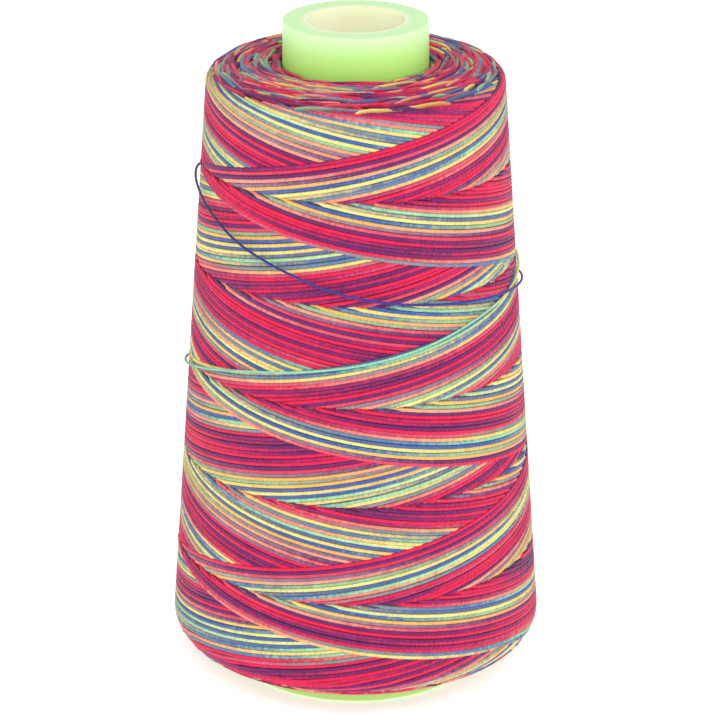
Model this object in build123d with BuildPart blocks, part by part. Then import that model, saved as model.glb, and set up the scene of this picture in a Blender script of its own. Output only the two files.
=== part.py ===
"""A cone of variegated overlock thread: a moulded cone, the thread wound on it, and its loose end.

Millimetres, +Z up. The origin is the centre of the cone's base, on the plane that it stands on.
"""
import os
from math import cos, pi, radians, sin, tan

from build123d import *

# Moulded cone
HEIGHT = 115.0  # base rim to nose
WALL = 1.4
BASE_RADIUS = 22.2  # outside of the wall, at the base plane
NECK_RADIUS = 12.2  # outside of the wall where the taper ends, just under the top of the winding
NECK_HEIGHT = 106.5
NOSE_RADIUS = 12.1  # outside of the wall, at the nose plane
RIM_RADIUS = 22.7  # bead round the base
RIM_HEIGHT = 2.4
RIM_ROUND = 0.6
LIP_ROUND = 1.9  # outer edge of the nose
MOUTH_ROUND = 1.0  # edge of the nose bore
BORE_RADIUS = 8.1
COLLAR_RADIUS = 9.4  # outside of the collar that hangs inside the nose
COLLAR_LENGTH = 12.0
NOSE_WEB = 1.7  # thickness of the nose face between collar and wall

# Wound thread: one straight taper between two rounded shoulders
WIND_BOTTOM = 5.5
WIND_TOP = 107.9
WIND_BASE_RADIUS = 33.0  # the taper, carried down to the base plane
WIND_TAPER = 0.0762  # radius lost for each unit of height
HEEL_ROUND = 3.2
CROWN_REACH = 7.6  # the crown's shoulder is a quarter ellipse
CROWN_DROP = 2.9

# Loose end of the thread
THREAD_DIAMETER = 0.42
TURN_STEP = 22.5  # largest step between two points of the route, in degrees round the cone
RUN_SHARE = 0.45  # share of the shorter run that an arc takes up
# Each point: degrees round the cone from the front (-Y) towards +X, height, stand-off from the winding
LOOSE_ROUTE = [
    (-124, 50.8, 0.42), (-102, 53.5, 0.45), (-80, 56.1, 0.52), (-59, 59.0, 0.46), (-38, 61.7, 0.42),
    (-17, 63.4, 0.40), (5, 65.2, 0.40), (26, 67.4, 0.40), (47, 70.1, 0.38), (68, 71.6, 0.36),
    (90, 73.0, 0.34), (112, 74.2, 0.36), (134, 75.7, 0.40), (156, 77.4, 0.45), (178, 79.6, 0.45),
    (200, 81.6, 0.45), (222, 83.9, 0.45), (243, 86.6, 0.50), (262, 89.0, 0.55), (280, 88.6, 0.60),
    (298, 86.1, 0.52), (316, 82.7, 0.44), (335, 80.0, 0.42), (354, 76.9, 0.40), (374, 75.0, 0.40),
    (395, 73.6, 0.46), (416, 72.4, 0.86), (437, 71.1, 0.86), (458, 69.6, 0.60), (480, 67.3, 0.48),
    (502, 65.2, 0.45), (523, 62.7, 0.45), (544, 60.4, 0.45), (565, 57.6, 0.45),
]


def wall_radius(height):
    """Outside radius of the cone's wall at a height above the base: a long taper, then an upright neck."""
    if height > NECK_HEIGHT:
        return NECK_RADIUS + (NOSE_RADIUS - NECK_RADIUS) * (height - NECK_HEIGHT) / (HEIGHT - NECK_HEIGHT)
    return BASE_RADIUS + (NECK_RADIUS - BASE_RADIUS) * height / NECK_HEIGHT


def winding_radius(height):
    """Radius of the winding's tapered side at a height above the base."""
    return WIND_BASE_RADIUS - WIND_TAPER * height


os.makedirs("parts", exist_ok=True)

# The cone: a thin tapered shell, open at the base, with a collar hanging inside its nose
COLLAR_END = HEIGHT - COLLAR_LENGTH
WEB_FACE = HEIGHT - NOSE_WEB
with BuildPart() as cone:
    with BuildSketch(Plane.XZ):
        with BuildLine():
            Polyline(
                (BASE_RADIUS - WALL, 0),
                (RIM_RADIUS, 0),
                (RIM_RADIUS, RIM_HEIGHT),
                (wall_radius(RIM_HEIGHT), RIM_HEIGHT),
                (NECK_RADIUS, NECK_HEIGHT),
                (NOSE_RADIUS, HEIGHT),
                (BORE_RADIUS, HEIGHT),
                (BORE_RADIUS, COLLAR_END),
                (COLLAR_RADIUS, COLLAR_END),
                (COLLAR_RADIUS, WEB_FACE),
                (wall_radius(WEB_FACE) - WALL, WEB_FACE),
                (NECK_RADIUS - WALL, NECK_HEIGHT),
                close=True,
            )
        outline = make_face()
        rim_corners = outline.vertices().group_by(Axis.X)[-1]
        nose_corners = outline.vertices().group_by(Axis.Z)[-1].sort_by(Axis.X)
        fillet(rim_corners, radius=RIM_ROUND)
        fillet(nose_corners[-1], radius=LIP_ROUND)
        fillet(nose_corners[0], radius=MOUTH_ROUND)
    revolve(axis=Axis.Z)
cone.part.label = "cone"
export_step(cone.part, "parts/cone.step")

# The winding: thousands of turns as one soft body that sits on the cone's wall
CROWN_FOOT = WIND_TOP - CROWN_DROP
CROWN_CENTRE = winding_radius(CROWN_FOOT) - CROWN_REACH
with BuildPart() as wound_thread:
    with BuildSketch(Plane.XZ):
        with BuildLine():
            Polyline(
                (CROWN_CENTRE, WIND_TOP),
                (wall_radius(WIND_TOP), WIND_TOP),
                (NECK_RADIUS, NECK_HEIGHT),
                (wall_radius(WIND_BOTTOM), WIND_BOTTOM),
                (winding_radius(WIND_BOTTOM), WIND_BOTTOM),
                (winding_radius(CROWN_FOOT), CROWN_FOOT),
            )
            EllipticalCenterArc((CROWN_CENTRE, CROWN_FOOT), CROWN_REACH, CROWN_DROP, arc_size=90)
        section = make_face()
        heel = section.vertices().group_by(Axis.X)[-1]
        fillet(heel, radius=HEEL_ROUND)
    revolve(axis=Axis.Z)
wound_thread.part.label = "wound_thread"
export_step(wound_thread.part, "parts/wound_thread.step")

# The loose end: the last turns have slipped off their lay and run round the winding
REACH_OUT = 1 / cos(radians(TURN_STEP / 2))  # keeps the middle of each run outside the winding
route = []
for turned, height, stand_off in LOOSE_ROUTE:
    reach = (winding_radius(height) + stand_off) * REACH_OUT
    route.append(Vector(reach * sin(radians(turned)), -reach * cos(radians(turned)), height))

runs = [after - before for before, after in zip(route, route[1:])]
bends = [
    RUN_SHARE * min(run.length, after.length) / tan(radians(run.get_angle(after) / 2))
    for run, after in zip(runs, runs[1:])
]
with BuildPart() as loose_thread_end:
    with BuildLine() as lay:
        FilletPolyline(*route, radius=bends)
    with BuildSketch(Plane(origin=lay.line @ 0, z_dir=lay.line % 0)):
        Circle(THREAD_DIAMETER / 2)
    sweep(transition=Transition.ROUND)
loose_thread_end.part.label = "loose_thread_end"
export_step(loose_thread_end.part, "parts/loose_thread_end.step")

route_length = lay.wire().length
section_area = pi * THREAD_DIAMETER**2 / 4
print("bend radii", [round(bend, 1) for bend in bends])
print("runs", [round(run.length, 1) for run in runs])
print("loose end length", round(route_length, 1))
print("tube volume over section x length", round(loose_thread_end.part.volume / (section_area * route_length), 4))
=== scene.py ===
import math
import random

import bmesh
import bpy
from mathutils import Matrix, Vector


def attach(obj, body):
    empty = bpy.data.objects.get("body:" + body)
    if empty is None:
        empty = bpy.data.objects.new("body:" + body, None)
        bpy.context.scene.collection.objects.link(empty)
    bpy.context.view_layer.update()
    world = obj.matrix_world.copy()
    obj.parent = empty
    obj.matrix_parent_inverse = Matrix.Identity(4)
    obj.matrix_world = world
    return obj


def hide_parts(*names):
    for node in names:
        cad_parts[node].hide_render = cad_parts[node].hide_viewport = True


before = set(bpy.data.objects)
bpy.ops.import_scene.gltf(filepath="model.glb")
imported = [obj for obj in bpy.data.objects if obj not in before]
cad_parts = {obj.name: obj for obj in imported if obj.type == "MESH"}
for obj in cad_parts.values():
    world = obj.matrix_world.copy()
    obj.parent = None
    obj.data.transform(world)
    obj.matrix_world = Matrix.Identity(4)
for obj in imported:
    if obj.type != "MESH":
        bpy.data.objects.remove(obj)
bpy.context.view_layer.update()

# %% [markdown]
# # A cone of variegated overlock thread
# The real object is a moulded plastic cone with about 2.7 km of thread wound on it.
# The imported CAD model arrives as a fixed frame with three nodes: the cone, the winding and the loose end.
# The cone keeps its CAD shape and gets a better finish. The winding and the loose end are soft, so they
# are built again here strand by strand, in metres, in exactly the places that the CAD gives them.

# %% [markdown]
# ## Camera
# The cone is seen from a little above through a long lens, so that its sides hardly converge. The
# camera stands half a metre away, 22 degrees above the level, and looks at a point just under the
# middle of the cone.

# %% Camera
AIM = Vector((0.0, 0.0, 0.0550))
LOOK_DOWN = math.radians(22.0)
camera_data = bpy.data.cameras.new("studio_camera")
camera_data.sensor_width = 36.0
camera_data.lens = 146.2
camera_data.shift_x = 0.0018
camera = bpy.data.objects.new("studio_camera", camera_data)
camera.location = AIM + 0.5 * Vector((0.0, -math.cos(LOOK_DOWN), math.sin(LOOK_DOWN)))
camera.rotation_euler = (math.pi / 2 - LOOK_DOWN, 0.0, 0.0)
bpy.context.scene.collection.objects.link(camera)
bpy.context.scene.camera = camera
print("camera at", [round(x, 4) for x in camera.location])

# %% [markdown]
# ## The loose end
# The last turns of thread, nearly two of them, have slipped off their lay and run slackly round the
# winding. This is a free cord, so it is one smooth NURBS spline and not a mesh. Each control point is
# given the way a maker would measure it: degrees round the cone from the front, height, and how far the
# thread stands off the winding. Control points lie a little outside the curve that they shape, so their
# distance from the axis is stretched by REACH_OUT.

# %% The winding's own outline
WINDING_FOOT, WINDING_TAPER = 0.0330, 0.0762


def winding_radius(height):
    return WINDING_FOOT - WINDING_TAPER * height


REACH_OUT = 1.0 / math.cos(math.radians(11.25))
THREAD_DIAMETER = 0.00042
LOOSE_LENGTH = 0.3456
print("winding radius low and high:", round(winding_radius(0.009), 4), round(winding_radius(0.104), 4))

# %% Route of the loose end
LOOSE_ROUTE = [
    (-124, 0.0508, 0.00042), (-102, 0.0535, 0.00045), (-80, 0.0561, 0.00052),
    (-59, 0.0590, 0.00046), (-38, 0.0617, 0.00042), (-17, 0.0634, 0.00040), (5, 0.0652, 0.00040),
    (26, 0.0674, 0.00040), (47, 0.0701, 0.00030), (68, 0.0716, 0.00022),
    (90, 0.0730, 0.00018), (112, 0.0742, 0.00020), (134, 0.0757, 0.00030), (156, 0.0774, 0.00045),
    (178, 0.0796, 0.00045), (200, 0.0816, 0.00045), (222, 0.0839, 0.00045),
    (243, 0.0866, 0.00050), (262, 0.0890, 0.00046), (280, 0.0886, 0.00046), (298, 0.0861, 0.00044),
    (316, 0.0827, 0.00044), (335, 0.0800, 0.00042), (354, 0.0769, 0.00040),
    (374, 0.0750, 0.00040), (395, 0.0736, 0.00046), (416, 0.0724, 0.00066), (437, 0.0711, 0.00072),
    (458, 0.0696, 0.00050), (480, 0.0673, 0.00048), (502, 0.0652, 0.00045),
    (523, 0.0627, 0.00045), (544, 0.0604, 0.00045), (565, 0.0576, 0.00045),
]


def loose_point(turned, height, stand_off):
    reach = (winding_radius(height) + stand_off) * REACH_OUT
    angle = math.radians(turned)
    return Vector((reach * math.sin(angle), -reach * math.cos(angle), height))


# %% [markdown]
# A curve's bounding box is widened by the radius of its control points. They get a thousandth instead of
# one metre, and the bevel is a thousand times deeper to make up for it.

# %% Loose thread as one NURBS spline
POINT_RADIUS = 0.001
loose_curve = bpy.data.curves.new("loose_thread", "CURVE")
loose_curve.dimensions = "3D"
loose_spline = loose_curve.splines.new("NURBS")
loose_spline.points.add(len(LOOSE_ROUTE) - 1)
for point, place in zip(loose_spline.points, LOOSE_ROUTE):
    point.co = (*loose_point(*place), 1.0)
    point.radius = POINT_RADIUS
loose_spline.order_u = 3
loose_spline.use_endpoint_u = True
loose_spline.resolution_u = 8
loose_curve.bevel_depth = THREAD_DIAMETER / 2 / POINT_RADIUS
loose_curve.bevel_resolution = 3
loose_curve.use_fill_caps = True
loose_thread = bpy.data.objects.new("loose_thread", loose_curve)
bpy.context.scene.collection.objects.link(loose_thread)
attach(loose_thread, "root")
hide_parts("loose_thread_end")
print("loose thread control points:", len(LOOSE_ROUTE))

# %% [markdown]
# ## How the thread is laid
# The winder turns the cone while a guide runs up and down. The thread climbs 34.5 mm in each turn, makes
# three turns to the top, and comes down again in three more. Each double stroke starts a 54th of a turn
# away from the one before, so after 54 of them the whole surface is covered by two crossing sets of
# strands. A strand's age is how many double strokes ago it was laid. Where a rising and a falling strand
# cross, the younger one is on top, which is what draws the rows of nested V shapes.

# %% Winding geometry
RISE_PER_TURN = 0.0345
STROKES = 54
PITCH = RISE_PER_TURN / STROKES
GUIDE_LOW = 0.0050
TURNS_PER_STROKE = 3
GUIDE_HIGH = GUIDE_LOW + TURNS_PER_STROKE * RISE_PER_TURN
FRESH_RISING = 0.0993
FRESH_FALLING = 0.0844
print("strand pitch in mm:", round(PITCH * 1000, 3))


def age_of_rising(turned, height):
    return ((FRESH_RISING + RISE_PER_TURN * turned / 360 - height) / PITCH) % STROKES


def age_of_falling(turned, height):
    return ((height - FRESH_FALLING + RISE_PER_TURN * turned / 360) / PITCH) % STROKES


# %% [markdown]
# The guide's height is turned into a place on the winding by following its outline: up the tapered
# side, over the quarter ellipse at the crown, and round the small curve at the heel. Both curves are
# short lists of points that a strand walks along, to get a radius, a height and the way out of the
# surface.

# %% Outline of the winding
SIDE_LOW, SIDE_HIGH = 0.0089, 0.1050
CROWN_REACH, CROWN_DROP = 0.0076, 0.0029
HEEL_ROUND = 0.0032


def crown_outline(steps=60):
    edge = winding_radius(SIDE_HIGH)
    line = []
    for i in range(steps + 1):
        a = math.pi / 2 * i / steps
        line.append((edge - CROWN_REACH * (1 - math.cos(a)), SIDE_HIGH + CROWN_DROP * math.sin(a)))
    return line


def heel_outline(steps=24):
    edge = winding_radius(SIDE_LOW)
    line = []
    for i in range(steps + 1):
        a = math.pi / 2 * i / steps
        line.append((edge - HEEL_ROUND * (1 - math.cos(a)), SIDE_LOW - 0.0002 - HEEL_ROUND * math.sin(a)))
    return line


def walk(line, distance):
    for (r0, z0), (r1, z1) in zip(line, line[1:]):
        step = math.hypot(r1 - r0, z1 - z0)
        if distance <= step:
            part = distance / step
            out = Vector((abs(z1 - z0), abs(r1 - r0))).normalized()
            return r0 + (r1 - r0) * part, z0 + (z1 - z0) * part, out
        distance -= step
    return line[-1][0], line[-1][1], Vector((0.0, 1.0))


CROWN, HEEL = crown_outline(), heel_outline()


def on_winding(turned, guide, depth):
    if guide > SIDE_HIGH:
        radius, height, out = walk(CROWN, guide - SIDE_HIGH)
        radius, height = radius - depth * out.x, height - depth * out.y
    elif guide < SIDE_LOW:
        radius, height, out = walk(HEEL, SIDE_LOW - guide)
        radius, height = radius - depth * out.x, height + depth * out.y
    else:
        radius, height = winding_radius(guide) - depth, guide
    angle = math.radians(turned)
    return Vector((radius * math.sin(angle), -radius * math.cos(angle), height))


print("a point on the crown:", [round(x, 4) for x in on_winding(0, 0.107, 0)])

# %% [markdown]
# ## Length along the thread
# The colours are dyed along the thread before it is wound, so a strand's colour depends only on how
# many metres of thread came before it. The dye repeats every 0.7 m. Each double stroke uses one and a
# half repeats and 16 mm more, so neighbouring strands read opposite halves of the repeat, and the reds
# gather in slanting bands. Uneven tension shifts each strand a little, and drifts slowly as well.

# %% Dye position of a strand
random.seed(27)
DYE_REPEAT = 0.700
DYE_STEP = DYE_REPEAT / 2 + 0.0163
CROWN_SLIP = 0.066
TENSION_DRIFT = [(0, 0.030), (6, 0.0), (12, -0.035), (18, -0.075), (25, -0.030),
                 (32, -0.020), (38, 0.035), (44, 0.010), (54, 0.0)]
rising_slip = [random.gauss(0.0, 0.013) for _ in range(STROKES)]
falling_slip = [random.gauss(0.0, 0.013) for _ in range(STROKES)]


def drift(age):
    for (a0, d0), (a1, d1) in zip(TENSION_DRIFT, TENSION_DRIFT[1:]):
        if age <= a1:
            return d0 + (d1 - d0) * (age - a0) / (a1 - a0)
    return 0.0


def length_to(guide, steps=40):
    total, span = 0.0, (guide - GUIDE_LOW) / steps
    for i in range(steps):
        radius = winding_radius(GUIDE_LOW + span * (i + 0.5))
        total += span * math.hypot(1.0, 2 * math.pi * radius / RISE_PER_TURN)
    return total


STROKE_LENGTH = length_to(GUIDE_HIGH)
print("one stroke uses", round(STROKE_LENGTH, 3), "m of thread")


def dye_rising(age, guide):
    return length_to(guide) - DYE_STEP * age + drift(age) + rising_slip[age]


def dye_falling(age, guide):
    laid = 2 * STROKE_LENGTH - length_to(guide) - CROWN_SLIP
    return laid - DYE_STEP * age + drift(age) + falling_slip[age]


# %% [markdown]
# ## Strands on the side
# A strand is a bevelled curve, eight sides round, which is enough for something under a millimetre thick.
# Only the runs where it is on top are made, with a little more at each end where it dives under its
# neighbours. The curve becomes a mesh, and each point is given three numbers: the metres of thread
# before it, from which the dye is read, how far round the strand it is, for the ply twist, and how proud
# it stands, from which painted shade darkens the strand's sides, because little light gets down between
# strands.

# %% Helpers that turn runs into one mesh piece
def smooth_step(x):
    x = min(1.0, max(0.0, x))
    return x * x * (3 - 2 * x)


def strand_piece(name, runs, radius, faces_up=False, sides=8):
    curve = bpy.data.curves.new(name + "_lines", "CURVE")
    curve.dimensions = "3D"
    curve.twist_mode = "Z_UP"
    curve.bevel_depth = radius
    curve.bevel_resolution = (sides - 4) // 2
    for places, metres in runs:
        spline = curve.splines.new("POLY")
        spline.points.add(len(places) - 1)
        for point, place in zip(spline.points, places):
            point.co = (*place, 1.0)
    lines = bpy.data.objects.new(name + "_lines", curve)
    bpy.context.scene.collection.objects.link(lines)
    bpy.context.view_layer.update()
    mesh = bpy.data.meshes.new_from_object(lines.evaluated_get(bpy.context.evaluated_depsgraph_get()))
    bpy.data.objects.remove(lines)
    mesh.name = name
    along = [m for places, metres in runs for m in metres for _ in range(sides)]
    if len(along) != len(mesh.vertices):
        raise ValueError(f"{name}: {len(mesh.vertices)} vertices, and {len(along)} lengths")
    mesh.attributes.new("dyed_at", "FLOAT", "POINT").data.foreach_set("value", along)
    around = [(i % sides) / sides for i in range(len(along))]
    mesh.attributes.new("round_strand", "FLOAT", "POINT").data.foreach_set("value", around)
    # how far each point faces out of the winding; the thread material paints shade from it where strands
    # meet
    proud = []
    for place in (place for places, metres in runs for place in places):
        ring = mesh.vertices[len(proud):len(proud) + sides]
        out = Vector((0.0, 0.0, 1.0)) if faces_up else Vector((place.x, place.y, 0.0)).normalized()
        proud += [(v.co - place).dot(out) / radius for v in ring]
    mesh.attributes.new("proud", "FLOAT", "POINT").data.foreach_set("value", proud)
    mesh.polygons.foreach_set("use_smooth", [True] * len(mesh.polygons))
    piece = bpy.data.objects.new(name, mesh)
    bpy.context.scene.collection.objects.link(piece)
    print(name, "runs:", len(runs), "triangles:", 2 * len(mesh.polygons))
    return piece


# %% [markdown]
# Along a strand, the crossing strands are met in the order of their age. The strand comes out from under
# the last younger one, stays on top until the newest one of all passes over it, and does so once in every
# 54 crossings. A falling strand lies over the rising strand of its own double stroke.

# %% Runs of one strand
STRAND_RADIUS = 0.00036
STAND_PROUD = 0.00010  # the newest strands lie a little outside the winding's outline
LAYER = 0.00018  # height lost from the newest layer to the oldest
DIVE = 0.00038
HALF_DIVE = 0.4  # half the length of a dive, counted in crossing strands
NEAR = (-1.1, -0.4, -0.2, 0.0, 0.2, 0.4)  # points through a dive, counted in crossing strands
STEP_AGES = 1.5
WHOLE_BELOW = 3  # strands younger than this are hidden so briefly that they are made in one length
TURN_BACK = 0.0012
AGES_PER_DEGREE = 2 * STROKES / 360


def emerges_at(age, rising):
    return age + 0.5 if rising else age - 0.5


def strand_depth(age, rising, station):
    """How far a strand's centre lies under the outline where it meets a crossing strand of a given age."""
    crossing = station % STROKES
    covered = smooth_step((crossing - STROKES + 0.5 + HALF_DIVE) / (2 * HALF_DIVE))
    out = smooth_step((crossing - emerges_at(age, rising) + HALF_DIVE) / (2 * HALF_DIVE))
    depth = STRAND_RADIUS - STAND_PROUD + LAYER * ((age + crossing) / STROKES - covered)
    if age == 0 and not rising:
        return depth
    return depth + DIVE * max(covered, 1 - out)


def run_stations(age, rising, first, last):
    """Crossing ages, counted on without wrapping, at which each visible run of a strand gets its points."""
    runs = []
    for cycle in range(math.floor(first / STROKES) - 1, math.ceil(last / STROKES) + 1):
        emerge = cycle * STROKES + emerges_at(age, rising)
        cover = (cycle + 1) * STROKES - 0.5
        on_top = cover - emerge - 2 * HALF_DIVE
        inner = max(1, round(on_top / STEP_AGES))
        stations = [emerge + near for near in NEAR]
        stations += [emerge + HALF_DIVE + on_top * i / inner for i in range(1, inner)]
        stations += [cover - near for near in NEAR]
        stations = sorted({round(x, 3) for x in stations if first <= x <= last})
        if age < WHOLE_BELOW:
            runs = [sorted(set(sum(runs, []) + stations))]
        elif len(stations) > 2:
            runs.append(stations)
    return runs


def guide_height(climbed, rising):
    """The guide's height after so much travel from the start of a stroke, rounded at each end."""
    middle = (GUIDE_LOW + GUIDE_HIGH) / 2
    half = (GUIDE_HIGH - GUIDE_LOW) / 2
    off = climbed - half
    reach = half - math.hypot(half - abs(off), TURN_BACK)
    return middle + math.copysign(max(0.0, reach), off if rising else -off)


def strand_runs(age, rising, first_turned, other_age, dyed):
    """Places and metres of thread for every visible run of one strand, which also sways a little."""
    wander, phase = random.uniform(0.00003, 0.00009), random.uniform(0.0, 6.28)
    start_height = GUIDE_LOW if rising else GUIDE_HIGH
    first = other_age(first_turned, start_height)
    last = first + 360 * TURNS_PER_STROKE * AGES_PER_DEGREE
    runs = []
    for stations in run_stations(age, rising, first, last):
        places, metres = [], []
        for station in stations:
            turned = first_turned + (station - first) / AGES_PER_DEGREE
            climbed = (turned - first_turned) / 360 * RISE_PER_TURN
            straight = GUIDE_LOW + climbed if rising else GUIDE_HIGH - climbed
            sway = wander * math.sin(phase + math.radians(turned) * 0.9)
            depth = strand_depth(age, rising, station)
            places.append(on_winding(turned, guide_height(climbed, rising) + sway, depth))
            metres.append(dyed(age, straight))
        runs.append((places, metres))
    return runs


# %% Rising and falling strands
random.seed(11)
rising_runs, falling_runs = [], []
for age in range(STROKES - 1):
    start = -360 * (FRESH_RISING - GUIDE_LOW) / RISE_PER_TURN + 360 / STROKES * age
    rising_runs += strand_runs(age, True, start, age_of_falling, dye_rising)
    falling_runs += strand_runs(age, False, start + 360 * TURNS_PER_STROKE, age_of_rising, dye_falling)
rising_strands = strand_piece("rising_strands", rising_runs, STRAND_RADIUS)
falling_strands = strand_piece("falling_strands", falling_runs, STRAND_RADIUS)

# %% [markdown]
# ## Turn-backs on the crown
# At the top of each stroke the thread swings round and starts down again, so the crown is made of
# nearly level arcs from every layer, out to the rim. An arc comes in from the outside, stays level for
# a while and goes out again, and it rises and dives as it threads through the others. The arcs are dealt
# out round the cone by the golden angle, so that no two layers line up.

# %% Crown turns
random.seed(5)
GOLDEN_ANGLE = 137.5
ARC_STEP = 4  # degrees between points of an arc
CROWN_INNER, CROWN_OUTER = 0.0128, 0.0232
CROWN_TURNS = 300
CROWN_STRAND_RADIUS = 0.00037
CROWN_SUNK, CROWN_WEAVE, CROWN_END_DIVE = 0.00010, 0.00030, 0.0022
CROWN_DYES = (0.02, 0.10, 0.14, 0.24, 0.28, 0.34, 0.48, 0.56, 0.70, 0.76, 0.82, 0.88)
CROWN_DYE_SPEED = 3.2  # the colour changes faster here, because other layers hide most of an arc


def crown_height(radius):
    edge = winding_radius(SIDE_HIGH)
    if radius <= edge - CROWN_REACH:
        return SIDE_HIGH + CROWN_DROP
    part = (radius - edge + CROWN_REACH) / CROWN_REACH
    return SIDE_HIGH + CROWN_DROP * math.sqrt(max(0.0, 1 - part * part))


def crown_turn(middle, centre, swing, half, weave, phase):
    places, metres = [], []
    begin = DYE_REPEAT * random.choice(CROWN_DYES)
    steps = round(2 * half / ARC_STEP)
    for i in range(steps + 1):
        part = 2 * i / steps - 1
        radius = middle + swing * part * part
        ends = smooth_step((abs(part) - 0.5) / 0.5)
        wave = 0.5 + 0.5 * math.sin(weave * part + phase)
        angle = math.radians(centre + half * part)
        height = crown_height(radius) - CROWN_SUNK - CROWN_WEAVE * wave - CROWN_END_DIVE * ends
        places.append(Vector((radius * math.sin(angle), -radius * math.cos(angle), height)))
        metres.append(begin + CROWN_DYE_SPEED * radius * math.radians(half) * (part + 1))
    return places, metres


crown_runs = []
for i in range(CROWN_TURNS):
    share = (i + 0.5) / CROWN_TURNS
    middle = math.sqrt(CROWN_INNER ** 2 + share * (CROWN_OUTER ** 2 - CROWN_INNER ** 2))
    middle = max(CROWN_INNER, middle + random.uniform(-0.0010, 0.0006))
    swing = min(random.uniform(0.0008, 0.0026), CROWN_OUTER + 0.0008 - middle)
    half = random.uniform(24, 44)
    weave = math.pi * 2 * middle * math.radians(half) / random.uniform(0.010, 0.018)
    crown_runs.append(crown_turn(middle, GOLDEN_ANGLE * i, swing, half, weave, random.uniform(0, 6.28)))
crown_turns = strand_piece("crown_turns", crown_runs, CROWN_STRAND_RADIUS, faces_up=True)

# %% [markdown]
# ## Turn-backs at the heel
# The thread swings round at the bottom of each stroke too, so the heel ends in nearly level arcs. They
# follow the heel's small curve on to the flat underside.

# %% Heel turns
random.seed(8)
HEEL_TURNS = 110
HEEL_STRAND_RADIUS = 0.00032
HEEL_SUNK, HEEL_END_DIVE = 0.00022, 0.0008
HEEL_DYE_SPEED = 2.0


def heel_turn(low_place, centre, climb, half):
    places, metres = [], []
    begin = random.uniform(0.0, DYE_REPEAT)
    steps = round(2 * half / ARC_STEP)
    for i in range(steps + 1):
        part = 2 * i / steps - 1
        ends = smooth_step((abs(part) - 0.7) / 0.3)
        radius, height, out = walk(HEEL, low_place - climb * part * part)
        inward = HEEL_SUNK + HEEL_END_DIVE * ends
        radius, height = radius - inward * out.x, height + inward * out.y
        angle = math.radians(centre + half * part)
        places.append(Vector((radius * math.sin(angle), -radius * math.cos(angle), height)))
        metres.append(begin + HEEL_DYE_SPEED * radius * math.radians(half) * (part + 1))
    return places, metres


heel_runs = []
for i in range(HEEL_TURNS):
    low_place = 0.0032 + 0.0018 * (i + 0.5) / HEEL_TURNS
    climb, half = random.uniform(0.0006, 0.0022), random.uniform(14, 26)
    heel_runs.append(heel_turn(low_place, GOLDEN_ANGLE * i, climb, half))
heel_turns = strand_piece("heel_turns", heel_runs, HEEL_STRAND_RADIUS)

# %% [markdown]
# ## The dye
# One colour ramp holds the whole repeat: about half of it reds and plum, the rest a run of light rainbow
# colours. The attribute with the metres of thread is divided by the repeat, and its fraction reads the
# ramp. A little noise moves the reading to and fro, because the dye creeps along some fibres further
# than along others. Over that come painted shade in the ply twist's grooves, the fibres' mottling, and
# painted shade at the edge where strands meet.

# %% Thread material
def srgb(red, green, blue):
    def linear(c):
        c = c / 255
        return c / 12.92 if c <= 0.04045 else ((c + 0.055) / 1.055) ** 2.4
    return (linear(red), linear(green), linear(blue), 1.0)


DYES = [
    (0.000, srgb(158, 216, 168)), (0.055, srgb(252, 236, 140)), (0.110, srgb(252, 186, 96)),
    (0.155, srgb(252, 164, 136)), (0.190, srgb(232, 76, 104)), (0.240, srgb(240, 20, 80)),
    (0.290, srgb(236, 22, 84)), (0.330, srgb(114, 34, 104)), (0.365, srgb(232, 22, 82)),
    (0.412, srgb(238, 28, 84)), (0.442, srgb(252, 140, 126)), (0.480, srgb(252, 222, 130)),
    (0.530, srgb(96, 112, 158)), (0.570, srgb(62, 98, 182)), (0.610, srgb(156, 200, 150)),
    (0.650, srgb(150, 122, 148)), (0.690, srgb(106, 38, 110)), (0.740, srgb(118, 30, 104)),
    (0.785, srgb(232, 18, 78)), (0.830, srgb(104, 28, 100)), (0.880, srgb(160, 30, 100)),
    (0.915, srgb(226, 80, 110)), (0.945, srgb(130, 150, 150)), (0.975, srgb(88, 128, 178)),
]


PLY_STEP = 0.0009  # metres of thread to one turn of its plies
FLECK_SHIFT = 0.030  # metres that the dye creeps


def math_node(nodes, links, operation, *inputs):
    node = nodes.new("ShaderNodeMath")
    node.operation = operation
    for socket, value in zip(node.inputs, inputs):
        if isinstance(value, (int, float)):
            socket.default_value = value
        else:
            links.new(value, socket)
    return node.outputs[0]


def dye_ramp(nodes, dyes):
    ramp = nodes.new("ShaderNodeValToRGB")
    ramp.color_ramp.interpolation = "EASE"
    ramp.color_ramp.elements.remove(ramp.color_ramp.elements[1])
    ramp.color_ramp.elements[0].position = dyes[0][0]
    ramp.color_ramp.elements[0].color = dyes[0][1]
    for position, color in dyes[1:]:
        ramp.color_ramp.elements.new(position).color = color
    return ramp


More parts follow.
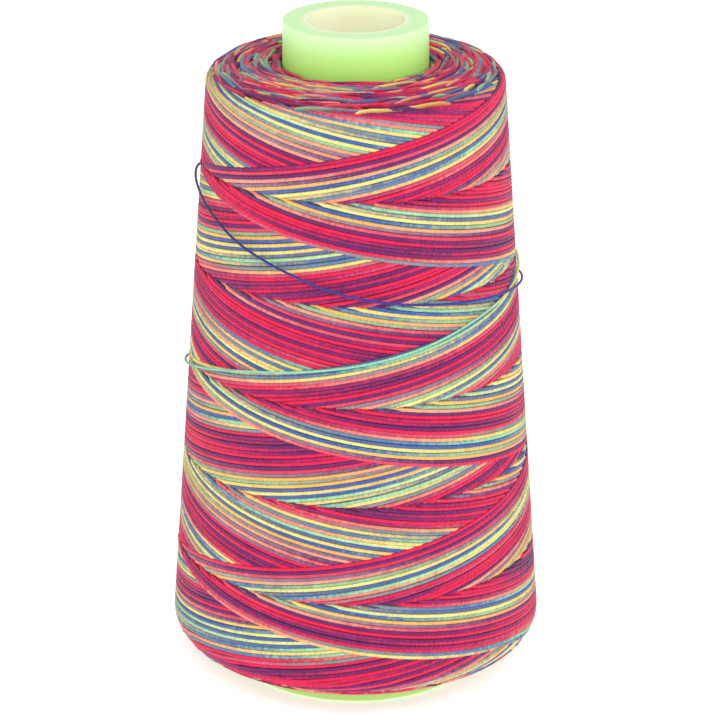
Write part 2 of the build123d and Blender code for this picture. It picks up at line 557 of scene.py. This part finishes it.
def finish_as_thread(material, dyed_color, metres, round_it, proud=None):
    """Ply twist, fibres and sheen over a colour that the dye gives, with painted shade in the twist's
    grooves and where strands meet.
    """
    nodes, links = material.node_tree.nodes, material.node_tree.links
    shader = nodes["Principled BSDF"]
    shader.inputs["Sheen Weight"].default_value = 0.10
    shader.inputs["Specular IOR Level"].default_value = 0.25
    plies = math_node(nodes, links, "MULTIPLY", metres, 2 * math.pi / PLY_STEP)
    turned = math_node(nodes, links, "MULTIPLY", round_it, 2 * math.pi)
    place = nodes.new("ShaderNodeTexCoord")
    fibres = nodes.new("ShaderNodeTexNoise")
    fibres.inputs["Scale"].default_value = 3200.0
    fibres.inputs["Detail"].default_value = 3.0
    links.new(place.outputs["Object"], fibres.inputs["Vector"])
    rough = math_node(nodes, links, "MULTIPLY_ADD", fibres.outputs["Fac"], 0.25, 0.50)
    links.new(rough, shader.inputs["Roughness"])
    uneven = nodes.new("ShaderNodeTexNoise")
    uneven.inputs["Scale"].default_value = 420.0
    uneven.inputs["Detail"].default_value = 2.0
    links.new(place.outputs["Object"], uneven.inputs["Vector"])
    turned = math_node(nodes, links, "MULTIPLY_ADD", uneven.outputs["Fac"], 14.0, turned)
    twist = math_node(nodes, links, "SINE", math_node(nodes, links, "ADD", plies, turned))
    # painted shade: the ply twist's grooves darken the base colour a little
    shade = math_node(nodes, links, "MULTIPLY_ADD", twist, 0.05, 0.34)
    shade = math_node(nodes, links, "MULTIPLY_ADD", fibres.outputs["Fac"], 0.50, shade)
    shade = math_node(nodes, links, "MULTIPLY_ADD", uneven.outputs["Fac"], 0.44, shade)
    # painted shade: the colour darkens to 0.58 where the strand turns away from the outside, down between
    # its neighbours
    if proud is not None:
        edge = nodes.new("ShaderNodeMapRange")
        edge.inputs["From Min"].default_value = 0.30
        edge.inputs["From Max"].default_value = 0.80
        edge.inputs["To Min"].default_value = 0.58
        links.new(proud, edge.inputs["Value"])
        shade = math_node(nodes, links, "MULTIPLY", shade, edge.outputs["Result"])
    tint = nodes.new("ShaderNodeVectorMath")
    tint.operation = "SCALE"
    links.new(dyed_color, tint.inputs["Vector"])
    links.new(shade, tint.inputs["Scale"])
    links.new(tint.outputs["Vector"], shader.inputs["Base Color"])
    height = math_node(nodes, links, "MULTIPLY_ADD", fibres.outputs["Fac"], 0.8, twist)
    bump = nodes.new("ShaderNodeBump")
    bump.inputs["Strength"].default_value = 0.5
    bump.inputs["Distance"].default_value = 0.00006
    links.new(height, bump.inputs["Height"])
    links.new(bump.outputs["Normal"], shader.inputs["Normal"])


def thread_material(name):
    material = bpy.data.materials.new(name)
    material.use_nodes = True
    nodes, links = material.node_tree.nodes, material.node_tree.links
    dyed = nodes.new("ShaderNodeAttribute")
    dyed.attribute_name = "dyed_at"
    place = nodes.new("ShaderNodeTexCoord")
    flecks = nodes.new("ShaderNodeTexNoise")
    flecks.inputs["Scale"].default_value = 1300.0
    links.new(place.outputs["Object"], flecks.inputs["Vector"])
    shifted = math_node(nodes, links, "MULTIPLY_ADD", flecks.outputs["Fac"], FLECK_SHIFT,
                        dyed.outputs["Fac"])
    repeats = math_node(nodes, links, "DIVIDE", shifted, DYE_REPEAT)
    ramp = dye_ramp(nodes, DYES + [(1.0, DYES[0][1])])
    links.new(math_node(nodes, links, "FRACT", repeats), ramp.inputs["Fac"])
    around = nodes.new("ShaderNodeAttribute")
    around.attribute_name = "round_strand"
    proud = nodes.new("ShaderNodeAttribute")
    proud.attribute_name = "proud"
    finish_as_thread(material, ramp.outputs["Color"], dyed.outputs["Fac"], around.outputs["Fac"],
                     proud.outputs["Fac"])
    return material


# %% Thread material on the strands
thread_dyed = thread_material("variegated_thread")
for piece in (rising_strands, falling_strands, crown_turns, heel_turns):
    piece.data.materials.append(thread_dyed)
    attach(piece, "root")

# %% [markdown]
# The loose end's own stretch of dye is read along its length: mint at the hidden end, then yellow, a short
# red piece at the back, navy in front, purple at the right edge and crimson behind.

# %% Dye of the loose end
LOOSE_DYES = [
    (0.00, srgb(110, 190, 160)), (0.10, srgb(140, 215, 185)), (0.22, srgb(150, 215, 180)),
    (0.27, srgb(225, 225, 130)), (0.33, srgb(245, 190, 120)), (0.45, srgb(230, 60, 90)),
    (0.55, srgb(70, 60, 120)), (0.62, srgb(44, 50, 110)), (0.72, srgb(52, 56, 150)),
    (0.78, srgb(40, 56, 160)), (0.83, srgb(90, 50, 120)), (0.875, srgb(160, 40, 100)),
    (0.94, srgb(205, 24, 70)), (1.00, srgb(120, 30, 90)),
]
loose_dyed = bpy.data.materials.new("loose_thread_dye")
loose_dyed.use_nodes = True
loose_nodes, loose_links = loose_dyed.node_tree.nodes, loose_dyed.node_tree.links
loose_map = loose_nodes.new("ShaderNodeTexCoord")
loose_split = loose_nodes.new("ShaderNodeSeparateXYZ")
loose_links.new(loose_map.outputs["UV"], loose_split.inputs["Vector"])
loose_ramp = dye_ramp(loose_nodes, LOOSE_DYES)
loose_links.new(loose_split.outputs["X"], loose_ramp.inputs["Fac"])
loose_metres = math_node(loose_nodes, loose_links, "MULTIPLY", loose_split.outputs["X"], LOOSE_LENGTH)
finish_as_thread(loose_dyed, loose_ramp.outputs["Color"], loose_metres, loose_split.outputs["Y"])
loose_thread.data.materials.append(loose_dyed)

# %% [markdown]
# ## The body of the winding
# Under the top strands lie the older layers. They are a spun shell just below the surface, closed
# against the cone inside, and they show only in the gaps and on the flat underside. The shell's material
# has fine level streaks of the same dyes.

# %% Winding body
BODY_INSET, BODY_SUNK = 0.0007, 0.0005
CONE_AT_HEEL, CONE_AT_CROWN = (0.0217, 0.0059), (0.0124, CROWN[-1][1] - 0.0006)


def winding_body():
    outline = [CONE_AT_HEEL]
    outline += [(r - BODY_INSET, z + BODY_SUNK) for r, z in reversed(HEEL)]
    outline += [(r - BODY_INSET, z - BODY_SUNK) for r, z in CROWN]
    outline += [CONE_AT_CROWN]
    bm = bmesh.new()
    points = [bm.verts.new((0.0, -r, z)) for r, z in outline]
    edges = [bm.edges.new(pair) for pair in zip(points, points[1:])]
    edges.append(bm.edges.new((points[-1], points[0])))
    bmesh.ops.spin(bm, geom=points + edges, cent=(0, 0, 0), axis=(0, 0, 1), angle=2 * math.pi,
                   steps=120, use_merge=True)
    bmesh.ops.remove_doubles(bm, verts=bm.verts, dist=1e-7)
    bmesh.ops.recalc_face_normals(bm, faces=bm.faces)
    mesh = bpy.data.meshes.new("winding_body")
    bm.to_mesh(mesh)
    bm.free()
    mesh.polygons.foreach_set("use_smooth", [True] * len(mesh.polygons))
    piece = bpy.data.objects.new("winding_body", mesh)
    bpy.context.scene.collection.objects.link(piece)
    return piece


body = winding_body()

# %% Material of the older layers
older = bpy.data.materials.new("older_layers")
older.use_nodes = True
older_nodes, older_links = older.node_tree.nodes, older.node_tree.links
older_place = older_nodes.new("ShaderNodeTexCoord")
older_stretch = older_nodes.new("ShaderNodeMapping")
older_stretch.inputs["Scale"].default_value = (1.0, 1.0, 14.0)
older_links.new(older_place.outputs["Object"], older_stretch.inputs["Vector"])
older_strands = older_nodes.new("ShaderNodeTexNoise")
older_strands.inputs["Scale"].default_value = 110.0
older_strands.inputs["Detail"].default_value = 2.0
older_links.new(older_stretch.outputs["Vector"], older_strands.inputs["Vector"])
older_many = math_node(older_nodes, older_links, "MULTIPLY", older_strands.outputs["Fac"], 3.0)
older_ramp = dye_ramp(older_nodes, DYES + [(1.0, DYES[0][1])])
older_links.new(math_node(older_nodes, older_links, "FRACT", older_many), older_ramp.inputs["Fac"])
older_split = older_nodes.new("ShaderNodeSeparateXYZ")
older_links.new(older_place.outputs["Object"], older_split.inputs["Vector"])
finish_as_thread(older, older_ramp.outputs["Color"], older_split.outputs["X"], older_split.outputs["Z"])
body.data.materials.append(older)
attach(body, "root")
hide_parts("wound_thread")
print("winding body faces:", len(body.data.polygons))

# %% [markdown]
# ## The cone's plastic
# The cone is moulded in a thin, light green, milky plastic. Light gets into it, and this is painted into
# the colour: the rim is painted palest and the inside of the bore painted cream, as painted glow. The
# wall's green grows deeper down towards the thread. The colour therefore follows the height and the
# distance from the axis, and faint flow marks from the mould run round it. The ramp's first fifth is for
# everything below the crown, its last half for the neck above it.

# %% Plastic of the cone
plastic = bpy.data.materials.new("green_plastic")
plastic.use_nodes = True
plastic_nodes, plastic_links = plastic.node_tree.nodes, plastic.node_tree.links
plastic_shader = plastic_nodes["Principled BSDF"]
plastic_shader.inputs["IOR"].default_value = 1.49
plastic_shader.inputs["Subsurface Weight"].default_value = 0.35
plastic_shader.inputs["Subsurface Radius"].default_value = (0.6, 1.0, 0.4)
plastic_shader.inputs["Subsurface Scale"].default_value = 0.004
plastic_place = plastic_nodes.new("ShaderNodeTexCoord")
plastic_split = plastic_nodes.new("ShaderNodeSeparateXYZ")
plastic_links.new(plastic_place.outputs["Object"], plastic_split.inputs["Vector"])
plastic_flow = plastic_nodes.new("ShaderNodeTexNoise")
plastic_flow.inputs["Scale"].default_value = 55.0
plastic_flow.inputs["Detail"].default_value = 4.0
plastic_stretch = plastic_nodes.new("ShaderNodeMapping")
plastic_stretch.inputs["Scale"].default_value = (1.0, 1.0, 6.0)
plastic_links.new(plastic_place.outputs["Object"], plastic_stretch.inputs["Vector"])
plastic_links.new(plastic_stretch.outputs["Vector"], plastic_flow.inputs["Vector"])

# %% Colour from height and distance
FLOW_LIFT = 0.0012
NECK_FOOT, NECK_LENGTH = 0.104, 0.0116
NECK_SHARE = 0.45
# the top stops are painted glow, making the rim palest as if lit through the plastic; the stop at 0.55 is
# the deeper green next to the thread
WALL_GREENS_AND_RIM_GLOW = [
    (0.00, srgb(196, 240, 142)), (0.20, srgb(196, 240, 142)), (0.55, srgb(160, 214, 84)),
    (0.70, srgb(168, 226, 100)), (0.86, srgb(182, 236, 130)), (1.00, srgb(206, 252, 184)),
]
plastic_height = math_node(plastic_nodes, plastic_links, "MULTIPLY_ADD", plastic_flow.outputs["Fac"],
                           FLOW_LIFT, plastic_split.outputs["Z"])
plastic_low = math_node(plastic_nodes, plastic_links, "MULTIPLY", plastic_height, 0.2 / 0.100)
plastic_high = math_node(plastic_nodes, plastic_links, "MULTIPLY_ADD", plastic_height,
                         NECK_SHARE / NECK_LENGTH, 1 - NECK_SHARE - NECK_SHARE * NECK_FOOT / NECK_LENGTH)
plastic_share = math_node(plastic_nodes, plastic_links, "MAXIMUM", plastic_high, plastic_low)
plastic_wall = dye_ramp(plastic_nodes, WALL_GREENS_AND_RIM_GLOW)
plastic_wall.color_ramp.interpolation = "LINEAR"
plastic_links.new(plastic_share, plastic_wall.inputs["Fac"])
plastic_flat = plastic_nodes.new("ShaderNodeVectorMath")
plastic_flat.operation = "MULTIPLY"
plastic_flat.inputs[1].default_value = (1.0, 1.0, 0.0)
plastic_links.new(plastic_place.outputs["Object"], plastic_flat.inputs[0])
plastic_far = plastic_nodes.new("ShaderNodeVectorMath")
plastic_far.operation = "LENGTH"
plastic_links.new(plastic_flat.outputs["Vector"], plastic_far.inputs[0])
# painted glow: from 9.5 mm to 8 mm from the axis the colour turns to a bright cream, standing in for light
# coming through the plastic into the bore
painted_bore_glow = plastic_nodes.new("ShaderNodeMapRange")
painted_bore_glow.inputs["From Min"].default_value = 0.0095
painted_bore_glow.inputs["From Max"].default_value = 0.0080
plastic_links.new(plastic_far.outputs["Value"], painted_bore_glow.inputs["Value"])
plastic_mix = plastic_nodes.new("ShaderNodeMix")
plastic_mix.data_type = "RGBA"
plastic_links.new(painted_bore_glow.outputs["Result"], plastic_mix.inputs["Factor"])
plastic_links.new(plastic_wall.outputs["Color"], plastic_mix.inputs["A"])
plastic_mix.inputs["B"].default_value = srgb(252, 252, 214)
plastic_links.new(plastic_mix.outputs["Result"], plastic_shader.inputs["Base Color"])
plastic_rough = math_node(plastic_nodes, plastic_links, "MULTIPLY_ADD", plastic_flow.outputs["Fac"],
                          0.20, 0.26)
plastic_links.new(plastic_rough, plastic_shader.inputs["Roughness"])
plastic_bump = plastic_nodes.new("ShaderNodeBump")
plastic_bump.inputs["Strength"].default_value = 0.12
plastic_bump.inputs["Distance"].default_value = 0.0004
plastic_links.new(plastic_flow.outputs["Fac"], plastic_bump.inputs["Height"])
plastic_links.new(plastic_bump.outputs["Normal"], plastic_shader.inputs["Normal"])
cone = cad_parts["cone"]
cone.data.materials.clear()
cone.data.materials.append(plastic)
print("cone slots:", [m.name for m in cone.data.materials])

# %% [markdown]
# ## Studio
# A plain white floor that runs out of sight, one big soft light over the camera, a weaker one at each
# side, and a white surround, as in a product studio.

# %% Floor
floor_bm = bmesh.new()
bmesh.ops.create_grid(floor_bm, x_segments=4, y_segments=4, size=3.0)
floor_mesh = bpy.data.meshes.new("studio_floor")
floor_bm.to_mesh(floor_mesh)
floor_bm.free()
floor = bpy.data.objects.new("studio_floor", floor_mesh)
bpy.context.scene.collection.objects.link(floor)
floor_material = bpy.data.materials.new("white_floor")
floor_material.use_nodes = True
floor_shader = floor_material.node_tree.nodes["Principled BSDF"]
floor_shader.inputs["Base Color"].default_value = (0.95, 0.95, 0.95, 1.0)
floor_shader.inputs["Roughness"].default_value = 0.9
floor_shader.inputs["Emission Color"].default_value = (1.0, 1.0, 1.0, 1.0)
floor_shader.inputs["Emission Strength"].default_value = 0.40
floor_mesh.materials.append(floor_material)

# %% Lights
def soft_light(name, place, size, watts):
    data = bpy.data.lights.new(name, "AREA")
    data.size = size
    data.energy = watts
    lamp = bpy.data.objects.new(name, data)
    lamp.location = place
    lamp.rotation_euler = (AIM - Vector(place)).to_track_quat("-Z", "Y").to_euler()
    bpy.context.scene.collection.objects.link(lamp)


soft_light("front_light", (0.1, -0.9, 0.8), 0.8, 8.0)
soft_light("left_light", (-0.9, -0.2, 0.5), 0.7, 3.0)
soft_light("right_light", (0.9, -0.2, 0.5), 0.7, 3.0)
world = bpy.data.worlds.new("white_surround")
bpy.context.scene.world = world
world.use_nodes = True
world.node_tree.nodes["Background"].inputs["Color"].default_value = (1.0, 1.0, 1.0, 1.0)
world.node_tree.nodes["Background"].inputs["Strength"].default_value = 0.55
bpy.context.scene.view_settings.view_transform = "Standard"
print("lights ready")

# %% Last update of the view layer
bpy.context.view_layer.update()
